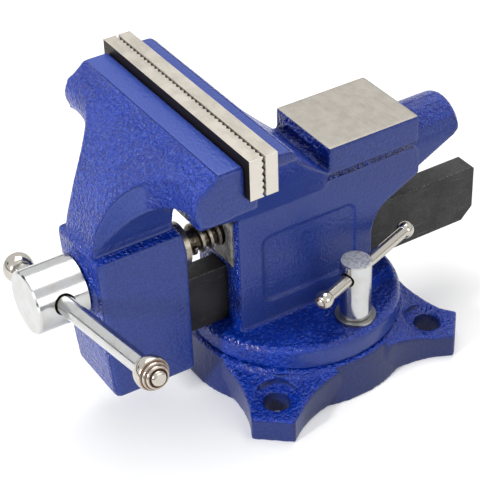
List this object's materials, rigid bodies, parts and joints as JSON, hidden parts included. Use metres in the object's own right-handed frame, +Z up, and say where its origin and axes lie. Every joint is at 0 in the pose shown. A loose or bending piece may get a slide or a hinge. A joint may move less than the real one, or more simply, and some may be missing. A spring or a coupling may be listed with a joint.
{
  "type": "bench vise",
  "caption": "Bench vise on a swivel base, with a moving jaw guided by a slide bar, serrated jaw plates, an anvil, a horn, a sliding screw handle and a swivel lock.",
  "frame": {"origin": "on the swivel axis, in the plane of the base's underside, at the centre of the circle of bolt holes", "axes": "+Z up along the swivel axis; +Y from the handle end to the horn end, along the main screw; +X towards the side that carries the swivel lock"},
  "size_m": [0.1555, 0.2269, 0.1462],
  "materials": {
    "blue_paint": "glossy hammered enamel over cast iron",
    "ground_steel": "surface-ground steel",
    "black_bar": "satin black oxide over rolled steel",
    "bright_plate": "bright plated",
    "screw_steel": "oiled machined steel",
    "raw_iron": "raw grey iron casting",
    "fastener_steel": "zinc plated"
  },
  "bodies": {
    "base": {"swivel_base": "blue_paint"},
    "turret": {"fixed_jaw_body": "blue_paint", "rear_jaw_plate": "ground_steel", "rear_plate_screws": "fastener_steel", "screw_nut": "raw_iron", "nut_pin": "fastener_steel", "pivot_bolt": "fastener_steel", "pivot_washer": "fastener_steel", "lock_washer": "bright_plate", "lock_shoe": "raw_iron"},
    "lock": {"lock_bolt": "bright_plate"},
    "lock_handle": {"lock_handle_rod": "bright_plate", "lock_knob_near": "bright_plate", "lock_knob_far": "bright_plate"},
    "moving_jaw": {"moving_jaw_casting": "blue_paint", "front_jaw_plate": "ground_steel", "front_plate_screws": "fastener_steel", "slide_bar": "black_bar", "bar_set_screws": "fastener_steel"},
    "screw": {"main_screw": "screw_steel", "screw_head": "bright_plate", "thrust_collar": "screw_steel", "collar_pin": "screw_steel"},
    "handle": {"handle_rod": "bright_plate", "handle_knob_near": "bright_plate", "handle_knob_far": "bright_plate"}
  },
  "joints": [
    {"name": "swivel", "type": "hinge", "parent": "base", "child": "turret", "pos_m": [0, 0, 0.0187], "axis": [0, 0, 1], "range_deg": [-120, 120]},
    {"name": "lock_turn", "type": "hinge", "parent": "turret", "child": "lock", "pos_m": [0.0355, 0.0093, 0.0295], "axis": [0, 0, 1], "range_deg": [-50, 10]},
    {"name": "lock_handle_slide", "type": "slide", "parent": "lock", "child": "lock_handle", "axis": [0.3518, -0.9361, 0], "range_m": [-0.0125, 0.028]},
    {"name": "jaw_slide", "type": "slide", "parent": "turret", "child": "moving_jaw", "axis": [0, -1, 0], "range_m": [0, 0.076]},
    {"name": "screw_turn", "type": "hinge", "parent": "moving_jaw", "child": "screw", "pos_m": [0, -0.1055, 0.0744], "axis": [0, -1, 0], "range_deg": [0, 6841]},
    {"name": "handle_slide", "type": "slide", "parent": "screw", "child": "handle", "axis": [0.977, 0, 0.213], "range_m": [-0.068, 0.0138]}
  ],
  "couplings": [
    {"joint": "screw_turn", "follows": "jaw_slide", "rad_per_m": 1570.8}
  ]
}
